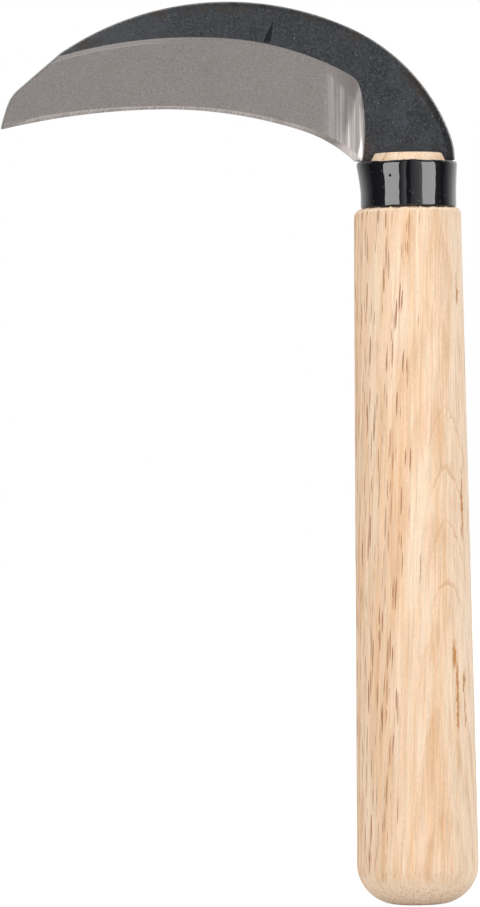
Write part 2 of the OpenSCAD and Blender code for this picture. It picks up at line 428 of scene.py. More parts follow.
@dataclass(frozen=True)
class Run:
    """A chain of arcs that starts at a pose."""

    start: Pose
    arcs: tuple[Arc, ...]

    def poses(self) -> list[Pose]:
        """Return the pose at the start of each arc and at the end of the last."""
        found = [self.start]
        for arc in self.arcs:
            found.append(found[-1].walk(arc))
        return found

    def reach(self, pole: np.ndarray, angle: float) -> float:
        """Return how far along a ray from the pole the run lies.

        Args:
            pole: The ray's start, inside all bends of the run.
            angle: The ray's direction in degrees.

        Returns:
            The distance in millimetres.
        """
        poses = self.poses()
        for arc, start, end in zip(self.arcs, poses, poses[1:]):
            if arc is self.arcs[-1] or angle <= end.bearing(pole):
                break
        return circle_reach(pole, angle, start.centre(arc.radius), arc.radius)

    def distance(self, points: np.ndarray) -> np.ndarray:
        """Return how far outside the run each point lies."""
        poses = self.poses()
        found = np.full(len(points), np.nan)
        for arc, start, end in zip(self.arcs, poses, poses[1:]):
            away = points - start.centre(arc.radius)
            swung = np.degrees(np.arctan2(away[:, 1], away[:, 0])) + 90
            swung = np.where(swung < start.heading - 120, swung + 360, swung)
            here = np.isnan(found)
            if arc is not self.arcs[-1]:
                here &= swung <= end.heading
            found[here] = np.linalg.norm(away[here], axis=1) - arc.radius
        return found


@dataclass
class Blade:
    """The forged crescent with its ground bevel, honed edge, neck and tang."""

    rim_z: float
    reach: float = 101.8
    heel_x: float = -13.4
    foot_y: float = 0.3
    heel_angle: float = 44.0
    edge_arcs: tuple[Arc, ...] = (Arc(34.5, 25.5), Arc(112, 19), Arc(182, 22))
    spine_x: float = 11.7
    spine_arcs: tuple[Arc, ...] = (Arc(18.5, 20), Arc(47.8, 45), Arc(74.3, 75))
    plunge_in: float = 2.0
    plunge_lean: float = 10.6
    grind_arcs: tuple[Arc, ...] = (Arc(45.5, 22.7), Arc(5.5, 48.3), Arc(74.7, 25), Arc(120.6, 60))
    clip_angle: float = 39.8
    nose_r: float = 9.0
    end: Arc = Arc(45, 8.3)
    end_angle: float = 76.8
    thickness: float = 2.8
    tip_thickness: float = 2.3
    edge_thickness: float = 0.15
    hone_angle: float = 21.0
    hone_widths: tuple[tuple[float, float], ...] = (
        (-101.0, 1.45),
        (-88.0, 1.15),
        (-60.0, 0.85),
        (-30.0, 1.0),
        (-20.0, 1.3),
        (-15.4, 1.7),
        (-14.5, 1.4),
        (-13.9, 0.7),
        (-13.5, 0.2),
    )
    wheel_r: float = 20.0
    blend: float = 0.3
    facet_width: float = 1.4
    facet_depth: float = 0.4
    back_break: float = 0.3
    rim_round: float = 0.4
    neck_half: float = 10.9
    neck_depth: float = 9.4
    tang_half: float = 6.5
    tang_end_half: float = 3.5
    tang_depth: float = 62.0
    point_trim: float = 0.3
    ray_step: float = 0.35
    hone_cuts: int = 3
    bevel_cuts: int = 14
    wheel_cuts: int = 12
    face_cuts: int = 10
    rim_cuts: int = 5

    def __post_init__(self) -> None:
        """Work out the runs of arcs and the wheel's place."""
        self.pole = np.array([-0.52 * self.reach, self.foot_y])
        self.edge = Run(Pose(self.heel_x, self.foot_y, 180 - self.heel_angle), self.edge_arcs)
        plunge = Pose(self.heel_x + self.plunge_in, self.foot_y, 90 - self.plunge_lean)
        self.grind = Run(plunge, self.grind_arcs)
        self.spine = Run(Pose(self.spine_x, self.foot_y, 90), self.spine_arcs)
        long_r = self.edge_arcs[-1].radius
        middle = self.edge.poses()[2].centre(long_r)
        point_y = middle[1] + math.sqrt(long_r**2 - (self.reach + middle[0]) ** 2)
        self.point = Pose(-self.reach, point_y, 180 + self.end_angle)
        self.nose = self.point.walk(Arc(self.end.radius, -self.end.turn))
        self.clip = self.nose.walk(Arc(self.nose_r, self.clip_angle + self.end.turn - self.end_angle))
        lift = self.thickness - self.edge_thickness
        self.runout = math.sqrt(self.wheel_r**2 - (self.wheel_r - lift) ** 2)
        self.wheel_x = plunge.x - self.runout
        self.corner = self.grind.poses()[2]
        self.corner_width = float(self.edge.distance(np.array([[self.corner.x, self.corner.y]]))[0])

    def on_ray(self, angle: float, reaches: np.ndarray) -> np.ndarray:
        """Return the places at these distances along a ray."""
        a = math.radians(angle)
        return self.pole + np.outer(reaches, [math.cos(a), math.sin(a)])

    def outer_reach(self, angle: float) -> float:
        """Return how far along a ray the spine, the clip or the blade's end lies."""
        spine = self.spine.reach(self.pole, angle)
        if angle <= 90:
            return spine
        if angle > self.nose.bearing(self.pole):
            end = circle_reach(self.pole, angle, self.point.centre(self.end.radius), self.end.radius)
        elif angle > self.clip.bearing(self.pole):
            end = circle_reach(self.pole, angle, self.nose.centre(self.nose_r), self.nose_r)
        else:
            d = np.array([self.clip.x, self.clip.y]) - self.pole
            a, h = math.radians(angle), math.radians(self.clip.heading)
            end = (d[0] * math.sin(h) - d[1] * math.cos(h)) / math.sin(h - a)
        return min(spine, end)

    def hone_width(self, x: float) -> float:
        """Return the honed strip's width, which is slim mid-blade and broad at both ends."""
        places, widths = zip(*self.hone_widths)
        return float(np.interp(x, places, widths))

    def forged_height(self, x: np.ndarray) -> np.ndarray:
        """Return the forged face's height over the back at each x."""
        thinning = self.thickness - self.tip_thickness
        return self.thickness - thinning * np.maximum(0, -x) / self.reach

    def wheel_height(self, x: np.ndarray) -> np.ndarray:
        """Return the height that the grinding wheel's arc leaves at each x."""
        past = np.clip(x - self.wheel_x, 0, self.runout)
        return self.edge_thickness + self.wheel_r - np.sqrt(self.wheel_r**2 - past**2)

    def bevel_height(self, places: np.ndarray, hone: float, width: float) -> np.ndarray:
        """Return the height of the honed strip and the bevel at each place.

        Args:
            places: Places in the blade's plane.
            hone: Width of the honed strip.
            width: Width of the whole bevel.

        Returns:
            Heights over the back.
        """
        away = self.edge.distance(places)
        slope = math.tan(math.radians(self.hone_angle))
        start = self.edge_thickness + hone * slope
        rise = self.forged_height(places[:, 0]) - start
        honed = self.edge_thickness + away * slope
        return np.minimum(honed, start + rise * (away - hone) / (width - hone))

    def ground_height(self, places: np.ndarray, hone: float, width: float) -> np.ndarray:
        """Return the ground side's height at each place."""
        wheel, bevel = self.wheel_height(places[:, 0]), self.bevel_height(places, hone, width)
        soft = np.clip(1 - np.abs(wheel - bevel) / self.blend, 0, 1)
        met = np.maximum(wheel, bevel) + self.blend / 4 * soft**2
        return np.minimum(self.forged_height(places[:, 0]), met)

    def lift_off(self, angle: float, hone: float, width: float, low: float, high: float) -> float:
        """Return where the wheel's arc leaves the bevel on a ray, found by halving.

        Args:
            angle: The ray's direction in degrees.
            hone: Width of the honed strip.
            width: Width of the whole bevel.
            low: Nearest place to look at along the ray.
            high: Farthest place to look at along the ray.

        Returns:
            The distance along the ray.
        """
        for _ in range(16):
            half = (low + high) / 2
            place = self.on_ray(angle, np.array([half]))
            above = self.wheel_height(place[:, 0]) > self.bevel_height(place, hone, width)
            low, high = (low, half) if above[0] else (half, high)
        return (low + high) / 2

    def section(self, angle: float) -> np.ndarray:
        """Return the ring round the blade on one ray: x, y, height and distance in from the rim."""
        edge = self.edge.reach(self.pole, angle)
        outer = self.outer_reach(angle)
        span = outer - edge
        limit = self.grind.reach(self.pole, angle)
        forged_rim = limit < outer - self.facet_width
        face = outer - min(self.facet_width if forged_rim else self.back_break, span / 4)
        top = min(limit, face - min(self.facet_width, span) / 8)
        foot = self.on_ray(angle, np.array([edge]))
        inside = self.on_ray(angle, np.array([edge + 1.0]))
        hone_width = self.hone_width(foot[0, 0])
        hone = edge + min(hone_width / float(self.edge.distance(inside)[0]), span / 4)
        width = float(self.edge.distance(self.on_ray(angle, np.array([limit])))[0])
        if angle < self.corner.bearing(self.pole):
            width = max(width, self.corner_width)
        margin = (top - hone) / 8
        lift = self.lift_off(angle, hone_width, width, hone + margin, top - margin)
        curl = min(self.rim_round if forged_rim else self.back_break / 2, span / 10)
        stops = np.concatenate(
            [
                np.linspace(edge, hone, self.hone_cuts, endpoint=False),
                np.linspace(hone, lift, self.bevel_cuts, endpoint=False),
                np.linspace(lift, top, self.wheel_cuts, endpoint=False),
                np.linspace(top, face, self.face_cuts, endpoint=False),
                np.linspace(face, outer - curl, 3, endpoint=False),
            ]
        )
        places = self.on_ray(angle, stops)
        heights = np.where(
            stops < limit - 1e-9,
            self.ground_height(places, hone_width, width),
            self.forged_height(places[:, 0]),
        )
        drop = min(self.facet_depth if forged_rim else self.back_break / 3, heights[-1] / 4)
        heights = heights - drop * np.clip((stops - face) / (outer - face), 0, 1)
        over_top = heights[-1] - drop / 4
        side_top = max(over_top - curl, heights[-1] / 2)
        turn = np.linspace(0, math.pi / 2, self.rim_cuts)
        rim = self.on_ray(angle, outer - curl + curl * np.sin(turn))
        rim_heights = side_top + (over_top - side_top) * np.cos(turn)
        low = min(self.back_break, side_top / 2)
        back = self.on_ray(angle, outer - low + low * np.array([1.0, 0.7, 0.0]))
        back_heights = low - low * np.array([0.0, 0.7, 1.0])
        front = np.column_stack([places, heights, outer - stops])
        over = np.column_stack([rim, rim_heights, curl - curl * np.sin(turn)])
        under = np.column_stack([back, back_heights, [0.0, 0.0, low]])
        first = np.array([[front[0, 0], front[0, 1], 0, span]])
        return np.vstack([first, front, over, under])

    def straight(self, y: float, half: float, count: int) -> np.ndarray:
        """Return the ring of points round the neck or the tang at one level."""
        chamfer = self.back_break
        xs = np.linspace(-half, half - chamfer, count - 4)
        top = np.column_stack([xs, np.full_like(xs, y), np.full_like(xs, self.thickness)])
        side = [[half, y, self.thickness - chamfer], [half, y, chamfer], [half - chamfer, y, 0]]
        ring = np.vstack([[[-half, y, 0]], top, side])
        return np.column_stack([ring, np.full(count, self.facet_width * 3)])

    def build(self) -> bpy.types.Object:
        """Make the blade's mesh, with its regions as material numbers and its measures kept."""
        last = self.point.bearing(self.pole) - self.point_trim
        angles = np.linspace(0, last, math.ceil(last / self.ray_step))
        crescent = [self.section(angle) for angle in angles]
        count = len(crescent[0])
        tang = [
            self.straight(-self.tang_depth, self.tang_end_half, count),
            self.straight(-self.neck_depth - 0.3, self.tang_half, count),
            self.straight(-self.neck_depth, self.neck_half, count),
            self.straight(0.05, self.neck_half, count),
        ]
        flat = np.array(tang + crescent).reshape(-1, 4)
        points = np.column_stack([flat[:, 0], self.thickness / 2 - flat[:, 2], self.rim_z + flat[:, 1]])
        rows = len(tang) + len(crescent)
        faces = ring_faces(rows, count)
        faces.append(tuple(reversed(range(count))))
        faces.append(tuple(range((rows - 1) * count, rows * count)))
        piece = mesh_piece("blade_forged", points, faces, "blade")
        honed = 1 + self.hone_cuts
        top = honed + self.bevel_cuts + self.wheel_cuts
        creases = {0, 1, honed, top, top + self.face_cuts, count - 3, count - 1}
        mark_sharp(piece.data, count, creases, {0, 1, 2, 3, 4, rows - 1})
        keep_measure(piece.data, "rim_mm", flat[:, 3])
        keep_measure(piece.data, "ground_mm", -self.grind.distance(flat[:, :2]))
        number = np.arange(len(piece.data.polygons))
        row, column = number // count, number % count
        region = np.full(len(number), Region.FORGED.value, np.int32)
        crescent_rows = (row >= len(tang)) & (row < rows - 1)
        region[crescent_rows & (column < honed)] = Region.HONED.value
        region[crescent_rows & (column >= honed) & (column < top)] = Region.GROUND.value
        piece.data.polygons.foreach_set("material_index", region)
        return piece

    def dress(self, piece: bpy.types.Object) -> None:
        """Give the blade its three finishes."""
        for finish in (ForgeScale(self.rim_z), GroundSteel(self.rim_z), HonedSteel()):
            piece.data.materials.append(finish.material())


@dataclass(frozen=True)
class ForgeScale:
    """Black forge scale on carbon steel, left from hammering and quenching.

    It gives the eye a satin, slightly blue black with a fine grain, a painted sheen towards the
    handle, painted shade on the spine's facet at the right, brown shadows where the scale is thick,
    bright metal where the spine's rim has rubbed bare, a few pale or rusty specks, and one dark
    wedge where a fold of scale was hammered in.
    """

    rim_z: float
    black: str = "#16181b"
    blue: str = "#272b31"
    worn: str = "#54575b"
    # Colour of the painted sheen, a lighter blue-grey.
    painted_sheen: str = "#3f454d"
    brown: str = "#30261f"
    bare: str = "#8f8f8d"
    rust: str = "#4a3526"
    speck: str = "#8c8982"
    # Near-black of the hammered-in fold, also used as painted shade on the spine's facet.
    pit_and_shade: str = "#131313"
    grain_mm: float = 0.5
    mottle_mm: float = 0.6
    cloud_mm: float = 7.0
    speck_mm: float = 0.9
    bare_mm: float = 0.45
    mark_foot: tuple[float, float] = (-34.7, 30.7)
    mark_top: tuple[float, float] = (-32.8, 36.6)
    mark_half: float = 1.0
    bump_mm: float = 0.09

    def material(self) -> bpy.types.Material:
        """Make the material."""
        material = blank_material("forge_scale")
        tree = material.node_tree
        place = place_mm(tree)
        axes = split(tree, place)
        grain = soft_noise(tree, place, (self.grain_mm,) * 3, 3.0, 0.75)
        sheen_noise = soft_noise(tree, place, (5.0, 5.0, 9.0), 4.0, 0.6)
        mottle = soft_noise(tree, place, (self.mottle_mm,) * 3, 4.0, 0.65)
        cloud = soft_noise(tree, place, (self.cloud_mm,) * 3, 3.0, 0.6)
        tint = weigh(tree, cloud, 0.6, mottle)
        colour = blend_colours(tree, grade(tree, tint, 0.66, 0.96), self.black, self.blue)
        colour = blend_colours(tree, grade(tree, grain, 0.5, 0.72, 0.0, 0.6), colour, self.worn)
        # Painted sheen: a patchy, lighter blue-grey towards the handle that stands in for reflected
        # light.
        sheen = multiply(
            tree,
            grade(tree, sheen_noise, 0.48, 0.66, 0.0, 0.55),
            grade(tree, axes.outputs["X"], -8.0, 2.0, 0.15, 1.0),
            grade(tree, grain, 0.3, 0.55, 0.4, 1.0),
        )
        colour = blend_colours(tree, sheen, colour, self.painted_sheen)
        towards_point = grade(tree, axes.outputs["X"], -48.0, -88.0, 0.0, 0.35)
        colour = blend_colours(tree, towards_point, colour, self.worn)
        rim = measure(tree, "rim_mm")
        facet = grade(tree, rim, 2.3, 1.2)
        ridge = grade(tree, cloud, 0.46, 0.6, 0.0, 0.85)
        stained = multiply(tree, ridge, grade(tree, rim, 3.2, 2.0))
        colour = blend_colours(tree, stained, colour, self.brown)
        # Painted shade: the spine's facet is darkened towards the right, with less specular there too.
        right = grade(tree, axes.outputs["X"], -6.0, 8.0)
        lower = multiply(tree, facet, right)
        colour = blend_colours(tree, multiply(tree, lower, 0.5), colour, self.pit_and_shade)
        thick = grade(tree, cloud, 0.54, 0.66, 0.0, 0.5)
        patches = multiply(tree, thick, grade(tree, mottle, 0.4, 0.6))
        colour = blend_colours(tree, patches, colour, self.black)
        ground = measure(tree, "ground_mm")
        smear = multiply(
            tree,
            grade(tree, ground, -3.4, -0.3, 0.0, 0.85),
            grade(tree, axes.outputs["Z"], self.rim_z + 7.5, self.rim_z + 3.5),
            grade(tree, mottle, 0.35, 0.6),
        )
        colour = blend_colours(tree, smear, colour, self.rust)
        foot = (self.mark_foot[0], self.rim_z + self.mark_foot[1])
        top = (self.mark_top[0], self.rim_z + self.mark_top[1])
        fold = multiply(tree, wedge(tree, axes, foot, top, self.mark_half), 0.75)
        colour = blend_colours(tree, fold, colour, self.pit_and_shade)
        cells, lot = scatter(tree, place, self.speck_mm)
        near = grade(tree, cells.outputs["Distance"], 0.17, 0.08)
        rare = grade(tree, lot.outputs["Red"], 0.86, 0.9, 0.0, 0.8)
        colour = blend_colours(tree, multiply(tree, near, rare), colour, self.speck)
        bared = grade(tree, weigh(tree, mottle, -0.5, rim), self.bare_mm - 0.25, self.bare_mm - 0.45)
        colour = blend_colours(tree, bared, colour, self.bare)
        height = weigh(tree, fold, -2.0, weigh(tree, mottle, 1.5, grain))
        bump = emboss(tree, height, self.bump_mm, 1.0)
        finish_surface(
            tree,
            {
                "Base Color": colour,
                "Metallic": multiply(tree, bared, 0.8),
                "Roughness": grade(tree, mottle, 0.35, 0.65, 0.34, 0.5),
                "Specular IOR Level": multiply(
                    tree,
                    grade(tree, mottle, 0.3, 0.7, 0.36, 0.5),
                    grade(tree, fold, 0.0, 0.75, 1.0, 0.25),
                    grade(tree, lower, 0.0, 1.0, 1.0, 0.35),
                ),
                "Normal": bump,
            },
        )
        return material


@dataclass(frozen=True)
class GroundSteel:
    """Carbon steel ground on a wheel and blasted to an even matt grey.

    It gives the eye a warm, fine-grained grey, with bright upright streaks beside the handle where a
    narrow wheel left its marks, and one long scratch under the bevel's top near the point.
    """

    rim_z: float
    grey: str = "#a39d9a"
    dark: str = "#847e7c"
    shade: str = "#827c7a"
    bright: str = "#bfbab8"
    glint: str = "#dcd8d6"
    glint_x: tuple[float, float] = (-11.9, -11.4)
    glint_half: float = 0.75
    grain_mm: float = 0.32
    streak_mm: float = 0.26
    band_mm: float = 1.5
    scratch_mm: float = 0.11
    bump_mm: float = 0.012

    def heel_streaks(
        self, tree: bpy.types.NodeTree, place: bpy.types.Node, axes: bpy.types.Node
    ) -> bpy.types.Node:
        """Add the upright streaks beside the handle as a share of bright steel."""
        fine = soft_noise(tree, place, (self.streak_mm, 40.0, 60.0), 2.0, 0.6)
        broad = soft_noise(tree, place, (self.band_mm, 40.0, 45.0), 1.0)
        lines = grade(tree, weigh(tree, broad, 1.2, fine), 0.98, 1.32)
        near = grade(tree, axes.outputs["X"], -22.0, -17.0, 0.0, 0.95)
        slanted = weigh(tree, axes.outputs["X"], 1.07, axes.outputs["Z"])
        below = grade(tree, slanted, self.rim_z + 2.3, self.rim_z + 0.6)
        return multiply(tree, lines, near, below)

    def material(self) -> bpy.types.Material:
        """Make the material."""
        material = blank_material("ground_steel")
        tree = material.node_tree
        place = place_mm(tree)
        axes = split(tree, place)
        grain = soft_noise(tree, place, (self.grain_mm,) * 3, 2.0, 0.8)
        cloud = soft_noise(tree, place, (9.0, 9.0, 9.0), 2.0)
        mixed = weigh(tree, cloud, 0.1, grain)
        colour = blend_colours(tree, grade(tree, mixed, 0.3, 0.8), self.dark, self.grey)
        shaded = grade(tree, axes.outputs["X"], -19.0, -13.0, 0.0, 0.85)
        colour = blend_colours(tree, shaded, colour, self.shade)
        colour = blend_colours(tree, self.heel_streaks(tree, place, axes), colour, self.bright)
        foot, top = (self.glint_x[0], self.rim_z + 1.4), (self.glint_x[1], self.rim_z + 7.2)
        glint = wedge(tree, axes, foot, top, self.glint_half)
        colour = blend_colours(tree, multiply(tree, glint, 0.85), colour, self.glint)
        ground = measure(tree, "ground_mm")
        wander = soft_noise(tree, place, (16.0, 16.0, 16.0), 1.0)
        line = calc(tree, "ABSOLUTE", weigh(tree, wander, -2.2, ground))
        scratch = grade(tree, line, self.scratch_mm, self.scratch_mm / 4, 0.0, 0.75)
        reach = grade(tree, axes.outputs["X"], -52.0, -68.0)
        colour = blend_colours(tree, multiply(tree, scratch, reach), colour, self.bright)
        lighter = multiply(tree, grade(tree, ground, 1.6, 0.2, 0.0, 0.3), reach)
        colour = blend_colours(tree, lighter, colour, self.bright)
        bump = emboss(tree, grain, self.bump_mm, 0.5)
        finish_surface(
            tree, {"Base Color": colour, "Metallic": 1.0, "Roughness": 0.52, "Normal": bump}
        )
        return material


@dataclass(frozen=True)
class HonedSteel:
    """The edge, honed by hand on a coarse stone that crossed it at a slant.

    It gives the eye a brighter strip with fine slanting scratches, painted darker at the heel as
    painted shade, where the strip turns towards the light.
    """

    grey: str = "#b8b0ac"
    scratch: str = "#98908c"
    # Colour of the painted shade at the heel.
    heel: str = "#7c7774"
    scratch_mm: float = 0.3
    stroke_mm: float = 4.0
    slant: float = 60.0
    bump_mm: float = 0.01

    def material(self) -> bpy.types.Material:
        """Make the material."""
        material = blank_material("honed_steel")
        tree = material.node_tree
        place = place_mm(tree)
        axes = split(tree, place)
        turned = add_node(
            tree,
            "VectorRotate",
            {"rotation_type": "Y_AXIS"},
            {"Vector": place, "Angle": math.radians(self.slant - 90)},
        )
        hatch = soft_noise(tree, turned, (self.scratch_mm, 5.0, self.stroke_mm), 2.0, 0.6)
        colour = blend_colours(tree, grade(tree, hatch, 0.36, 0.62), self.scratch, self.grey)
        # Painted shade: the strip's colour is darkened towards the heel.
        heel_shade = grade(tree, axes.outputs["X"], -30.0, -17.0, 0.0, 0.75)
        colour = blend_colours(tree, heel_shade, colour, self.heel)
        bump = emboss(tree, hatch, self.bump_mm, 0.4)
        finish_surface(
            tree, {"Base Color": colour, "Metallic": 1.0, "Roughness": 0.42, "Normal": bump}
        )
        return material


@dataclass
class Ferrule:
    """The drawn ring round the handle's neck, flared under its rim and lacquered black."""

    foot_z: float
    rim_z: float
    radius: float = 11.95
    wall: float = 1.0
    flare_length: float = 8.0
    flare_power: float = 1.3
    flare_out: float = 0.37
    heel_out: float = 1.1
    heel_narrowness: float = 6.0
    foot_round: float = 0.7
    lip_round: float = 0.5
    lip_rise: float = 1.2
    wave_half: float = 0.17
    columns: int = 288
    dents: Waves = ((3, 0.016, 0.4), (5, 0.009, 2.1))
    waves: Waves = ((4, 0.06, 1.2), (7, 0.06, 0.3), (13, 0.04, 2.0), (29, 0.025, 0.6))

    def outline(self) -> list[tuple[float, float]]:
        """Return the ring's section as (distance in from the outside, height over the foot)."""
        height = self.rim_z - self.foot_z
        turn = np.linspace(0, math.pi / 2, 9)
        foot_r, lip_r = self.foot_round, self.lip_round
        foot = [(foot_r - foot_r * math.sin(a), foot_r - foot_r * math.cos(a)) for a in turn]
        start = height - self.lip_rise
        wall = [(0.0, h) for h in np.linspace(foot_r + 0.2, start - 0.2, 48)]
        lip = [(lip_r - lip_r * math.cos(a), start + self.lip_rise * math.sin(a)) for a in turn]
        return foot + wall + lip + [(self.wall, height), (self.wall, height / 2), (self.wall, 0.0)]

    def build(self) -> bpy.types.Object:
        """Make the ferrule's mesh."""
        angle = np.linspace(0, 2 * math.pi, self.columns, endpoint=False)
        height = self.rim_z - self.foot_z
        heel = np.maximum(0.0, -np.cos(angle)) ** self.heel_narrowness
        flare = self.flare_out * np.cos(angle) ** 4 + (self.heel_out - self.flare_out) * heel
        wave = ripple(angle, self.waves)
        rings = []
        for inwards, h in self.outline():
            up = max(0.0, h - (height - self.flare_length)) / self.flare_length
            outside = self.radius + flare * up**self.flare_power + ripple(angle, self.dents)
            bore = np.full_like(angle, self.radius - self.wall)
            radius = outside - inwards if inwards < self.wall else bore
            end = 2 * h / height - 1
            level = self.foot_z + h + (wave - self.wave_half * end) * abs(end)
            rings.append(np.column_stack([radius * np.cos(angle), radius * np.sin(angle), level]))
        faces = ring_faces(len(rings), self.columns)
        last = (len(rings) - 1) * self.columns
        for j in range(self.columns):
            k = (j + 1) % self.columns
            faces.append((last + j, last + k, k, j))
        return mesh_piece("ferrule_ring", np.vstack(rings), faces, "ferrule")

    def dress(self, piece: bpy.types.Object) -> None:
        """Give the ferrule its lacquer."""
        piece.data.materials.append(Lacquer().material())


@dataclass(frozen=True)
class Lacquer:
    """Black baking lacquer over a steel ring, dipped and left to run.

    It gives the eye a deep gloss whose reflections wander a little, with a few dust specks.
    """

    black: str = "#111216"
    dust: str = "#8a8780"
    chip: tuple[float, float, float] = (-4.85, -10.95, 181.6)
    run_mm: float = 3.0
    peel_mm: float = 0.8
    dust_mm: float = 1.1
    bump_mm: float = 0.02

    def material(self) -> bpy.types.Material:
        """Make the material."""
        material = blank_material("black_lacquer")
        tree = material.node_tree
        place = place_mm(tree)
        runs = soft_noise(tree, place, (self.run_mm, self.run_mm, self.run_mm * 2), 1.0)
        peel = soft_noise(tree, place, (self.peel_mm,) * 3, 1.0)
        cells, lot = scatter(tree, place, self.dust_mm)
        near = grade(tree, cells.outputs["Distance"], 0.12, 0.03)
        dust = multiply(tree, near, grade(tree, lot.outputs["Red"], 0.66, 0.7))
        sag = soft_noise(tree, place, (1.5, 6.0, 5.0), 2.0)
        height = weigh(tree, dust, 0.8, weigh(tree, peel, 0.12, weigh(tree, sag, 1.6, runs)))
        near_chip = add_node(tree, "VectorMath", {"operation": "DISTANCE"}, {0: place, 1: self.chip})
        chip = grade(tree, weigh(tree, peel, 0.5, near_chip.outputs["Value"]), 0.75, 0.5)
        bump = emboss(tree, height, self.bump_mm, 0.8)
        finish_surface(
            tree,
            {
                "Base Color": blend_colours(tree, dust, linear(self.black), self.dust),
                "IOR": 1.5,
                "Roughness": 0.05,
                "Normal": bump,
                "Specular IOR Level": grade(tree, chip, 0.0, 1.0, 0.5, 0.02),
                "Coat Weight": grade(tree, chip, 0.0, 1.0, 0.52, 0.0),
                "Coat IOR": 1.6,
                "Coat Roughness": 0.03,
                "Coat Normal": bump,
            },
        )
        return material


@dataclass
class Handle:
    """The turned oak handle: a rounded butt, a slight taper, a shoulder and a sawn neck."""

    shoulder_z: float
    rim_z: float
    butt_r: float = 15.36
    butt_round: float = 10.0
    shoulder_r: float = 13.35
    shoulder_round: float = 1.0
    wear: float = 0.9
    off_axis: float = 0.33
    neck_r: float = 10.9
    neck_top_r: float = 8.4
    neck_rise: float = 1.98
    neck_bevel: float = 5.0
    kerf: float = 2.96
    kerf_depth: float = 9.48
    columns: int = 288
    flats: Waves = ((2, 0.015, 0.5), (3, 0.01, 1.9), (5, 0.005, 0.7))
    frays: Waves = ((11, 0.06, 0.2), (31, 0.06, 1.7), (53, 0.05, 0.9), (83, 0.05, 2.4))

    def profile(self) -> list[tuple[float, float]]:
        """Return the turned outline as (radius, height), from the butt's middle up."""
        lean = math.atan((self.butt_r - self.shoulder_r) / self.shoulder_z)
        middle = self.butt_r - self.butt_round * math.tan(lean) - self.butt_round / math.cos(lean)
        r = self.butt_round
        flat = [(radius, 0.0) for radius in np.linspace(0.2, middle, 8, endpoint=False)]
        turn = np.linspace(0, math.pi / 2 + lean, 28)
        butt = [(middle + r * math.sin(a), r - r * math.cos(a)) for a in turn]
        top = self.shoulder_z - self.shoulder_round
        heights = np.linspace(butt[-1][1] + 0.6, top - 1.3, 220)
        side = [(self.butt_r - math.tan(lean) * z, z) for z in heights]
        s = self.shoulder_round
        start = self.shoulder_r - s
        turn = np.linspace(0, math.pi / 2, 9)
        shoulder = [(start + s * math.cos(a), top + s * math.sin(a)) for a in turn]
        return flat + butt + side + shoulder

    def body(self) -> tuple[np.ndarray, Faces]:
        """Return the points and faces of the turned body."""
        angle = np.linspace(0, 2 * math.pi, self.columns, endpoint=False)
        frayed = self.shoulder_z - self.shoulder_round
        worn = 1 + self.wear * np.maximum(0.0, -np.cos(angle)) ** 3
        rings = []
        for radius, z in self.profile():
            if z >= frayed:
                radius = self.shoulder_r - (self.shoulder_r - radius) * worn
                z = self.shoulder_z - (self.shoulder_z - z) * worn
            wide = radius + ripple(angle, self.flats) * np.minimum(1.0, radius / self.shoulder_r)
            torn = np.maximum(0.0, (z - frayed) / self.shoulder_round)
            level = z + torn * (np.abs(ripple(angle, self.frays)) * 2.0 - 0.08)
            off = -self.off_axis * level / self.shoulder_z
            rings.append(np.column_stack([wide * np.cos(angle) + off, wide * np.sin(angle), level]))
        floor = self.rim_z - self.kerf_depth
        for radius, z in ((self.neck_r, self.shoulder_z), (self.neck_r, floor), (0.2, floor)):
            ring = [radius * np.cos(angle), radius * np.sin(angle), np.full(self.columns, z)]
            rings.append(np.column_stack(ring))
        faces = ring_faces(len(rings), self.columns)
        faces.append(tuple(reversed(range(self.columns))))
        last = (len(rings) - 1) * self.columns
        faces.append(tuple(range(last, last + self.columns)))
        return np.vstack(rings), faces

    def neck_half(self, side: int, start: int) -> tuple[np.ndarray, Faces]:
        """Return one half of the sawn neck.

        Args:
            side: -1 for the front half, 1 for the rear half.
            start: Number of its first point.

        Returns:
            Its points and its faces.
        """
        top = self.rim_z + self.neck_rise
        levels = [
            (self.neck_r, self.rim_z - self.kerf_depth),
            (self.neck_r, top - self.neck_bevel),
            (self.neck_top_r + 0.12, top - 0.12),
            (self.neck_top_r - 0.1, top),
            (self.neck_top_r * 0.5, top),
        ]
        count = 72
        rings = []
        for radius, z in levels:
            cut = math.asin(self.kerf / 2 / radius)
            arc = np.linspace(cut, math.pi - cut, count)
            x, y = radius * np.cos(arc), radius * np.sin(arc) * side
            ring = np.column_stack([x, y, np.full(count, z)])
            rings.append(ring if side > 0 else ring[::-1])
        faces = ring_faces(len(rings), count, start)
        last = start + (len(rings) - 1) * count
        faces.append(tuple(reversed(range(start, start + count))))
        faces.append(tuple(range(last, last + count)))
        return np.vstack(rings), faces

    def build(self) -> bpy.types.Object:
        """Make the handle's mesh."""
        points, faces = self.body()
        for side in (-1, 1):
            more, extra = self.neck_half(side, len(points))
            points = np.vstack([points, more])
            faces += extra
        piece = mesh_piece("handle_turned", points, faces, "handle")
        piece.data.set_sharp_from_angle(angle=math.radians(35))
        return piece

    def dress(self, piece: bpy.types.Object) -> None:
        """Give the handle its wood."""
        piece.data.materials.append(Oak().material())


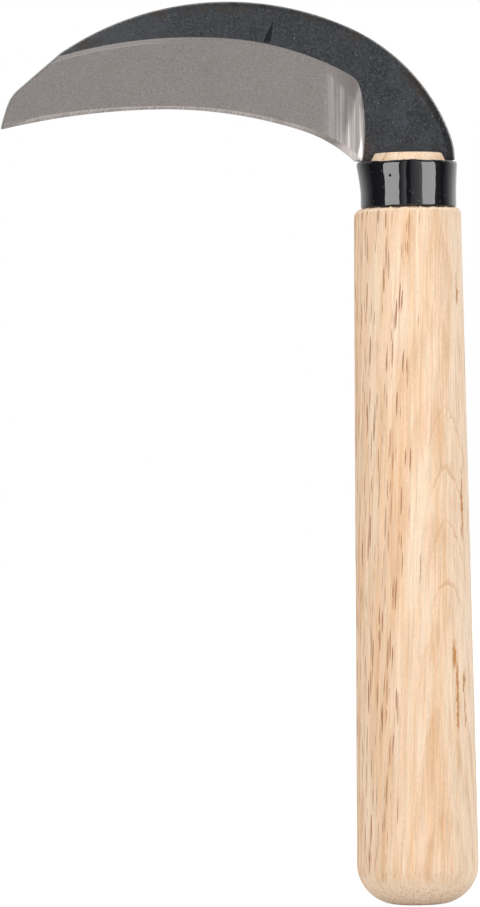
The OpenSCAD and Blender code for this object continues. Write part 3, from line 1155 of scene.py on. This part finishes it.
@dataclass(frozen=True)
class Oak:
    """Pale oak, turned and sanded, without varnish.

    It gives the eye a creamy ground with soft lengthwise bands, growth rings that make arches at the
    front, rows of purple-brown pore dashes where the rings run out at the sides, and a fuzzy butt.
    Painted light lightens the butt where it faces down and the right side towards its edge.
    """

    cream: str = "#f0d6ba"
    tan: str = "#e3b78c"
    ring: str = "#cd9c6e"
    flame: str = "#dda877"
    pore: str = "#8f4a26"
    # Pale colour of torn fibres, also used as painted light on the butt and on the right side.
    torn: str = "#fce6cc"
    dot: str = "#c98f5c"
    pith: tuple[float, float] = (-25.0, 50.0)
    ring_mm: float = 2.1
    ring_climb: float = -0.05
    grain_tilt: float = 2.4
    fibre_mm: float = 0.42
    mean_r: float = 14.3
    pore_cell_mm: tuple[float, float] = (0.55, 12.0)
    arch_x: float = 7.8
    arch_bow: float = 0.5
    arch_mm: float = 14.0
    streak: str = "#c48a55"
    streak_wander: float = 1.8
    streaks: tuple[tuple[float, float, float, float], ...] = (
        (10.1, 44.5, 61.0, 0.42),
        (11.9, 45.5, 59.0, 0.26),
        (9.4, 60.0, 66.0, 0.5),
        (11.9, 92.0, 109.0, 0.3),
        (11.4, 150.0, 158.0, 0.22),
    )
    bump_mm: float = 0.06

    def rings(
        self, tree: bpy.types.NodeTree, grain: bpy.types.Node
    ) -> tuple[bpy.types.Node, bpy.types.Node]:
        """Add the growth rings.

        Args:
            tree: The node tree.
            grain: Coordinates along the grain, in millimetres.

        Returns:
            The share of early wood, and how squarely the surface faces the pith.
        """
        wander = soft_noise(tree, grain, (16.0, 16.0, 60.0), 2.0)
        axes = split(tree, grain)
        level = add_node(tree, "CombineXYZ", None, {"X": axes.outputs["X"], "Y": axes.outputs["Y"]})
        out = add_node(
            tree, "VectorMath", {"operation": "SUBTRACT"}, {0: level, 1: (*self.pith, 0.0)}
        )
        away = add_node(tree, "VectorMath", {"operation": "LENGTH"}, {0: out}).outputs["Value"]
        bent = weigh(tree, wander, 3.2, weigh(tree, axes.outputs["Z"], self.ring_climb, away))
        years = multiply(tree, bent, 1 / self.ring_mm)
        season = calc(tree, "FRACT", years)
        outward = add_node(tree, "VectorMath", {"operation": "NORMALIZE"}, {0: out})
        radial = add_node(tree, "VectorMath", {"operation": "NORMALIZE"}, {0: level})
        facing = add_node(tree, "VectorMath", {"operation": "DOT_PRODUCT"}, {0: outward, 1: radial})
        square = calc(tree, "ABSOLUTE", facing.outputs["Value"])
        early = weigh(tree, grade(tree, season, 0.6, 0.0), 1.0, grade(tree, season, 0.82, 1.0))
        return grade(tree, early, 0.0, 1.0), square

    def pores(
        self,
        tree: bpy.types.NodeTree,
        grain: bpy.types.Node,
        early: bpy.types.Node,
        square: bpy.types.Node,
    ) -> bpy.types.Node:
        """Add the pore dashes, which lie in the early wood where the rings run out."""
        axes = split(tree, grain)
        turn = calc(tree, "ARCTAN2", axes.outputs["X"], axes.outputs["Y"])
        wide, tall = self.pore_cell_mm
        wander = soft_noise(tree, grain, (6.0, 6.0, 12.0), 1.0)
        across = weigh(tree, turn, self.mean_r / wide, wander)
        along = multiply(tree, axes.outputs["Z"], 1 / tall)
        spread = add_node(tree, "CombineXYZ", None, {"X": across, "Y": along})
        plane = {"feature": "F1", "voronoi_dimensions": "2D"}
        cells = add_node(tree, "TexVoronoi", plane, {"Vector": spread, "Scale": 1.0})
        lot = add_node(tree, "SeparateColor", None, {"Color": cells.outputs["Color"]})
        size = grade(tree, lot.outputs["Red"], 0.0, 1.0, 0.16, 0.4)
        inside = weigh(tree, cells.outputs["Distance"], -1.0, size)
        dash = grade(tree, inside, 0.0, 0.1)
        run_out = grade(tree, square, 0.86, 0.64, 0.035, 1.0)
        drawn = weigh(tree, lot.outputs["Green"], -1.0, run_out)
        depth = grade(tree, lot.outputs["Blue"], 0.0, 1.0, 0.5, 1.0)
        return multiply(tree, dash, grade(tree, drawn, 0.0, 0.05), depth, grade(tree, early, 0.0, 0.25))

    def arches(self, tree: bpy.types.NodeTree, place: bpy.types.Node) -> bpy.types.Node:
        """Add the nested arches that growth rings make on the right of the front, as a share."""
        axes = split(tree, place)
        wander = soft_noise(tree, place, (3.0, 3.0, 7.0), 3.0, 0.6)
        aside = calc(tree, "SUBTRACT", axes.outputs["X"], self.arch_x)
        bowed = weigh(tree, multiply(tree, aside, aside), self.arch_bow, axes.outputs["Z"])
        years = multiply(tree, weigh(tree, wander, 7.0, bowed), 1 / self.arch_mm)
        season = calc(tree, "FRACT", years)
        within = grade(tree, multiply(tree, aside, aside), 30.0, 9.0)
        front = grade(tree, axes.outputs["Y"], -3.0, -6.0)
        upper = grade(tree, axes.outputs["Z"], 132.0, 124.0)
        lower = grade(tree, axes.outputs["Z"], 66.0, 80.0)
        high = multiply(tree, upper, lower)
        line = grade(tree, season, 0.14, 0.02)
        return multiply(tree, line, grade(tree, wander, 0.3, 0.6, 0.3, 1.0), within, front, high)

    def bark_streaks(self, tree: bpy.types.NodeTree, place: bpy.types.Node) -> bpy.types.Node:
        """Add the short bark-brown streaks low on the right of the front, as a share."""
        axes = split(tree, place)
        wander = soft_noise(tree, place, (1.6, 1.6, 4.0), 3.0, 0.7)
        moved = weigh(tree, wander, -self.streak_wander, axes.outputs["X"])
        front = grade(tree, axes.outputs["Y"], 0.0, -1.0)
        share = 0.0
        for x, low, high, half in self.streaks:
            off = calc(tree, "SUBTRACT", moved, x - self.streak_wander / 2)
            off = calc(tree, "ABSOLUTE", off)
            lower = grade(tree, axes.outputs["Z"], low - 2.0, low + 1.0)
            upper = grade(tree, axes.outputs["Z"], high + 1.0, high - 3.0)
            streak = multiply(tree, grade(tree, off, half, half / 4), lower, upper, front)
            share = calc(tree, "MAXIMUM", share, streak)
        return share

    def material(self) -> bpy.types.Material:
        """Make the material."""
        material = blank_material("oak")
        tree = material.node_tree
        place = place_mm(tree)
        grain = add_node(
            tree,
            "VectorRotate",
            {"rotation_type": "Y_AXIS"},
            {"Vector": place, "Angle": math.radians(-self.grain_tilt)},
        )
        early, square = self.rings(tree, grain)
        broad = soft_noise(tree, grain, (2.6, 2.6, 42.0), 4.0, 0.62)
        flame = soft_noise(tree, grain, (4.0, 4.0, 40.0), 3.0, 0.6)
        fibre = soft_noise(tree, grain, (self.fibre_mm, self.fibre_mm, 26.0), 4.0, 0.75)
        fuzz = soft_noise(tree, place, (0.45, 0.45, 0.8), 2.0, 0.7)
        band = weigh(tree, flame, 0.4, broad)
        colour = blend_colours(tree, grade(tree, band, 0.5, 0.92, 0.0, 0.7), self.cream, self.tan)
        # Painted light: the right side of the handle is lightened towards its edge.
        painted_right_light = grade(tree, split(tree, place).outputs["X"], 7.5, 14.0, 0.0, 0.65)
        colour = blend_colours(tree, painted_right_light, colour, self.torn)
        strength = grade(tree, flame, 0.4, 0.66, 0.0, 0.36)
        colour = blend_colours(tree, multiply(tree, early, strength), colour, self.ring)
        lens = soft_noise(tree, grain, (0.9, 0.9, 30.0), 2.0, 0.6)
        colour = blend_colours(tree, grade(tree, lens, 0.52, 0.7, 0.0, 0.42), colour, self.flame)
        stripe = weigh(tree, fuzz, 0.3, fibre)
        light = grade(tree, stripe, 0.48, 0.82, 0.86, 1.08)
        lit = add_node(tree, "VectorMath", {"operation": "SCALE"}, {0: colour, "Scale": light})
        colour = lit.outputs[0]
        dashes = self.pores(tree, grain, early, square)
        colour = blend_colours(tree, multiply(tree, dashes, 0.85), colour, self.pore)
        colour = blend_colours(tree, multiply(tree, self.arches(tree, place), 0.5), colour, self.ring)
        colour = blend_colours(tree, self.bark_streaks(tree, place), colour, self.streak)
        normal = add_node(tree, "TexCoord").outputs["Normal"]
        facing = split(tree, normal)
        # Painted light: faces that look down, the butt above all, are lightened.
        butt = grade(tree, facing.outputs["Z"], -0.1, -0.75, 0.0, 0.95)
        colour = blend_colours(tree, butt, colour, self.torn)
        end_grain = multiply(
            tree, grade(tree, facing.outputs["Z"], -0.2, -0.7), grade(tree, fuzz, 0.47, 0.6, 0.0, 0.5)
        )
        colour = blend_colours(tree, end_grain, colour, self.dot)
        raised = multiply(
            tree, grade(tree, facing.outputs["Z"], 0.2, 0.6), grade(tree, fuzz, 0.4, 0.6, 0.2, 0.9)
        )
        colour = blend_colours(tree, raised, colour, self.torn)
        rough = weigh(tree, end_grain, 2.0, weigh(tree, dashes, -0.3, stripe))
        bump = emboss(tree, rough, self.bump_mm, 0.6)
        finish_surface(
            tree,
            {"Base Color": colour, "Roughness": 0.62, "Specular IOR Level": 0.35, "Normal": bump},
        )
        return material


@dataclass
class TangNail:
    """The nail through ferrule, neck and wood, with its hammered head at the back."""

    axis_z: float
    seat_y: float = 12.05
    radius: float = 1.5
    head_r: float = 2.36
    head_height: float = 0.86
    length: float = 20.9
    point: float = 3.0
    columns: int = 64
    blows: Waves = ((3, 0.07, 0.4), (5, 0.05, 1.6), (7, 0.03, 0.2))

    def build(self) -> bpy.types.Object:
        """Make the nail's mesh."""
        angle = np.linspace(0, 2 * math.pi, self.columns, endpoint=False)
        tip = self.seat_y - self.length
        outline = [(0.1, tip), (self.radius / 3, tip), (self.radius, tip + self.point)]
        outline += [(self.radius, self.seat_y), (self.head_r - 0.05, self.seat_y)]
        for t in np.linspace(0, 1, 14):
            radius = self.head_r * math.cos(t * math.pi / 2) + 0.02
            outline.append((radius, self.seat_y + self.head_height * t**0.6))
        rings = []
        for radius, y in outline:
            share = min(1.0, max(0.0, (y - self.seat_y) / self.head_height))
            wide = radius * (1 + ripple(angle, self.blows) * share * 0.5)
            deep = y - 0.3 * share * np.abs(ripple(angle, self.blows)) * radius / self.head_r
            level = self.axis_z + wide * np.sin(angle)
            rings.append(np.column_stack([wide * np.cos(angle), deep, level]))
        faces = [tuple(reversed(face)) for face in ring_faces(len(rings), self.columns)]
        last = (len(rings) - 1) * self.columns
        faces.append(tuple(range(self.columns)))
        faces.append(tuple(reversed(range(last, last + self.columns))))
        piece = mesh_piece("tang_nail_driven", np.vstack(rings), faces, "tang_nail")
        piece.data.set_sharp_from_angle(angle=math.radians(50))
        return piece

    def dress(self, piece: bpy.types.Object) -> None:
        """Give the nail its steel."""
        piece.data.materials.append(WroughtSteel().material())


@dataclass(frozen=True)
class WroughtSteel:
    """A nail of plain steel, dull from storage and bright where the hammer struck."""

    dull: str = "#5f5f62"
    struck: str = "#98989a"
    blow_mm: float = 1.2
    bump_mm: float = 0.08

    def material(self) -> bpy.types.Material:
        """Make the material."""
        material = blank_material("wrought_steel")
        tree = material.node_tree
        blows = soft_noise(tree, place_mm(tree), (self.blow_mm,) * 3, 3.0)
        colour = blend_colours(tree, grade(tree, blows, 0.4, 0.65), self.dull, self.struck)
        bump = emboss(tree, blows, self.bump_mm, 0.7)
        finish_surface(
            tree, {"Base Color": colour, "Metallic": 1.0, "Roughness": 0.45, "Normal": bump}
        )
        return material


@dataclass(frozen=True)
class SoftBox:
    """An upright lamp panel between two bearings from the front of the object."""

    name: str
    left: float
    right: float
    low: float
    high: float
    strength: float


@dataclass(frozen=True)
class Card:
    """An upright card between two bearings that only mirror-like reflections show."""

    name: str
    left: float
    right: float
    tone_left: float
    tone_right: float
    low: float = 0.0
    high: float = 1400.0


@dataclass(frozen=True)
class Flag:
    """A level flag at a bearing from the front that only mirror-like reflections show."""

    name: str
    bearing: float
    height: float
    near: float
    far: float
    half: float
    tone: float


@dataclass
class Studio:
    """The pale floor, the white surroundings, the lamps, the cards, the flags and the camera."""

    frame_px: tuple[int, int] = (480, 907)
    pixel_mm: float = 0.25
    rim_px: tuple[float, float] = (407.9, 161.5)
    lean: float = 0.811
    distance: float = 1300.0
    sensor: float = 36.0
    lamp_distance: float = 900.0
    card_distance: float = 960.0
    floor_half: float = 4000.0
    fill: float = 0.62
    floor_glow: float = 0.86
    floor_paint: str = "#c8c8c8"
    white: str = "#ffffff"
    lamps: tuple[SoftBox, ...] = (
        SoftBox("left_softbox", -60.4, -24.2, 20.0, 730.0, 3.45),
        SoftBox("right_softbox", 32.6, 66.6, 20.0, 730.0, 3.45),
    )
    cards: tuple[Card, ...] = (
        Card("left_rear_card", -179.0, -135.0, 0.6, 0.7),
        Card("left_side_card", -135.0, -97.0, 0.7, 0.15),
        Card("left_dark_card", -97.0, -60.4, 0.02, 0.08),
        Card("front_left_card", -24.2, -7.0, 0.05, 0.9),
        Card("lens_card", -7.0, 3.5, 0.02, 0.02),
        Card("right_glow_card", 27.5, 31.0, 0.9, 1.1),
        Card("left_hood_card", -60.4, -24.2, 0.03, 0.03, 735.0),
        Card("right_hood_card", 32.6, 66.6, 0.03, 0.03, 735.0),
        Card("front_right_card", 3.5, 27.5, 0.3, 0.7),
        Card("right_dark_card", 66.6, 93.0, 0.14, 0.02),
        Card("right_side_card", 93.0, 135.0, 0.15, 1.0),
        Card("right_rear_card", 135.0, 179.0, 1.0, 0.8),
    )
    flags: tuple[Flag, ...] = (
        Flag("front_floor_flag", 0.0, 6.0, 380.0, 895.0, 1400.0, 0.01),
        Flag("left_floor_flag", -90.0, 5.0, 200.0, 950.0, 700.0, 0.12),
        Flag("right_floor_flag", 90.0, 5.0, 200.0, 950.0, 700.0, 0.12),
        Flag("ceiling_flag", 0.0, 1300.0, 300.0, 960.0, 1400.0, 0.01),
    )

    def aim(self, rim_z: float) -> Vector:
        """Return the point that the photograph's middle shows, in metres."""
        lean = math.radians(self.lean)
        right = self.frame_px[0] / 2 - self.rim_px[0]
        down = self.frame_px[1] / 2 - self.rim_px[1]
        x = (right * math.cos(lean) - down * math.sin(lean)) * self.pixel_mm
        z = rim_z - (right * math.sin(lean) + down * math.cos(lean)) * self.pixel_mm
        return Vector((x, 0.0, z)) * MM

    def camera(self, rim_z: float) -> None:
        """Make the camera that looks straight at the ground face."""
        data = bpy.data.cameras.new("camera")
        data.sensor_width = self.sensor
        data.lens = self.sensor * self.distance / (self.frame_px[1] * self.pixel_mm)
        data.clip_start, data.clip_end = 0.05, 50.0
        camera = bpy.data.objects.new("camera", data)
        bpy.context.scene.collection.objects.link(camera)
        level = Matrix.Rotation(math.radians(90), 4, "X")
        roll = Matrix.Rotation(math.radians(self.lean), 4, "Y")
        stand = self.aim(rim_z) + Vector((0, -self.distance, 0)) * MM
        camera.matrix_world = Matrix.Translation(stand) @ roll @ level
        bpy.context.scene.camera = camera

    def seen(self, tree: bpy.types.NodeTree) -> bpy.types.NodeSocket:
        """Add 1 for what the camera, gloss or glass shows and 0 for what only lights."""
        rays = add_node(tree, "LightPath").outputs
        both = {0: rays["Is Camera Ray"], 1: rays["Is Glossy Ray"]}
        bright = add_node(tree, "Math", {"operation": "MAXIMUM"}, both)
        all_three = {0: bright, 1: rays["Is Transmission Ray"]}
        return add_node(tree, "Math", {"operation": "MAXIMUM"}, all_three).outputs[0]

    def floor(self) -> None:
        """Make the floor, white to the camera with the object's shadow kept faint."""
        half = self.floor_half * MM
        corners = [(-half, -half, 0), (half, -half, 0), (half, half, 0), (-half, half, 0)]
        mesh = bpy.data.meshes.new("floor")
        mesh.from_pydata(corners, [], [(0, 1, 2, 3)])
        floor = bpy.data.objects.new("floor", mesh)
        bpy.context.scene.collection.objects.link(floor)
        material = blank_material("pale_floor")
        tree = material.node_tree
        strength = multiply(tree, self.seen(tree), self.floor_glow)
        glow = add_node(tree, "Emission", None, {"Color": linear(self.white), "Strength": strength})
        paint = add_node(tree, "BsdfDiffuse", None, {"Color": linear(self.floor_paint)})
        both = add_node(tree, "AddShader", None, {0: glow, 1: paint})
        add_node(tree, "OutputMaterial", None, {"Surface": both})
        mesh.materials.append(material)

    def surroundings(self) -> None:
        """Make the world: white to the camera and to reflections, softer as light."""
        world = bpy.data.worlds.new("white_studio")
        world.use_nodes = True
        tree = world.node_tree
        tree.nodes.clear()
        strength = grade(tree, self.seen(tree), 0.0, 1.0, self.fill, 1.0)
        back = add_node(tree, "Background", None, {"Color": linear(self.white), "Strength": strength})
        add_node(tree, "OutputWorld", None, {"Surface": back})
        bpy.context.scene.world = world

    def stand(self, panel: SoftBox | Card, distance: float) -> tuple[Matrix, float, float]:
        """Place an upright panel.

        Args:
            panel: A lamp or a card.
            distance: Its distance from the handle's axis in millimetres.

        Returns:
            Its placement, whose -Z looks at the axis, its width and its height in metres.
        """
        middle = math.radians((panel.left + panel.right) / 2)
        half = math.radians((panel.right - panel.left) / 2)
        out = Vector((math.sin(middle), -math.cos(middle), 0))
        spot = (out * distance + Vector((0, 0, (panel.low + panel.high) / 2))) * MM
        placement = Matrix.Translation(spot) @ out.to_track_quat("Z", "Y").to_matrix().to_4x4()
        return placement, 2 * distance * math.tan(half) * MM, (panel.high - panel.low) * MM

    def lights(self) -> None:
        """Hang the lamps."""
        for lamp in self.lamps:
            placement, wide, high = self.stand(lamp, self.lamp_distance)
            data = bpy.data.lights.new(lamp.name, "AREA")
            data.shape = "RECTANGLE"
            data.size, data.size_y = wide, high
            data.energy = lamp.strength * math.pi * wide * high
            light = bpy.data.objects.new(lamp.name, data)
            light.matrix_world = placement
            light.visible_camera = False
            bpy.context.scene.collection.objects.link(light)

    def reflectors(self) -> None:
        """Stand the cards and lay the flags that only mirror-like reflections show."""
        for card in self.cards:
            placement, wide, high = self.stand(card, self.card_distance)
            self.mirrored(card.name, placement, wide, high, (card.tone_left, card.tone_right))
        for flag in self.flags:
            spot = Vector((0, -(flag.near + flag.far) / 2, flag.height)) * MM
            placement = Matrix.Rotation(math.radians(flag.bearing), 4, "Z") @ Matrix.Translation(spot)
            deep = (flag.far - flag.near) * MM
            self.mirrored(flag.name, placement, flag.half * 2 * MM, deep, (flag.tone, flag.tone))

    def mirrored(
        self, name: str, placement: Matrix, wide: float, high: float, tones: tuple[float, float]
    ) -> None:
        """Make a glowing rectangle that only mirror-like reflections show.

        Args:
            name: Its name.
            placement: Where it stands.
            wide: Its width in metres.
            high: Its height in metres.
            tones: Its brightness at the left and at the right as the object sees it.
        """
        corners = [(x * wide / 2, y * high / 2, 0) for x, y in ((-1, -1), (1, -1), (1, 1), (-1, 1))]
        mesh = bpy.data.meshes.new(name)
        mesh.from_pydata(corners, [], [(0, 1, 2, 3)])
        panel = bpy.data.objects.new(name, mesh)
        panel.matrix_world = placement
        for kind in ("camera", "diffuse", "shadow", "transmission"):
            setattr(panel, f"visible_{kind}", False)
        bpy.context.scene.collection.objects.link(panel)
        material = blank_material(name)
        tree = material.node_tree
        axes = split(tree, add_node(tree, "TexCoord").outputs["Object"])
        tone = grade(tree, axes.outputs["X"], -wide / 2, wide / 2, *tones)
        glow = add_node(tree, "Emission", None, {"Color": linear(self.white), "Strength": tone})
        add_node(tree, "OutputMaterial", None, {"Surface": glow})
        mesh.materials.append(material)


def main() -> None:
    """Build the sickle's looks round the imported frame."""
    logging.basicConfig(level=logging.INFO, format="%(name)s: %(message)s")
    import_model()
    ferrule_low, ferrule_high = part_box("ferrule")
    nail_low, nail_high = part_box("tang_nail")
    rim_z, shoulder_z = ferrule_high.z / MM, ferrule_low.z / MM
    studio = Studio()
    studio.camera(rim_z)
    studio.surroundings()
    studio.floor()
    studio.lights()
    studio.reflectors()
    parts = [
        Blade(rim_z),
        Ferrule(shoulder_z, rim_z),
        Handle(shoulder_z, rim_z),
        TangNail((nail_low.z + nail_high.z) / 2 / MM),
    ]
    for part in parts:
        piece = part.build()
        part.dress(piece)
        LOG.info("%s has %d faces", piece.name, len(piece.data.polygons))
    bpy.context.scene.view_settings.view_transform = "Standard"


if __name__ == "__main__":
    main()
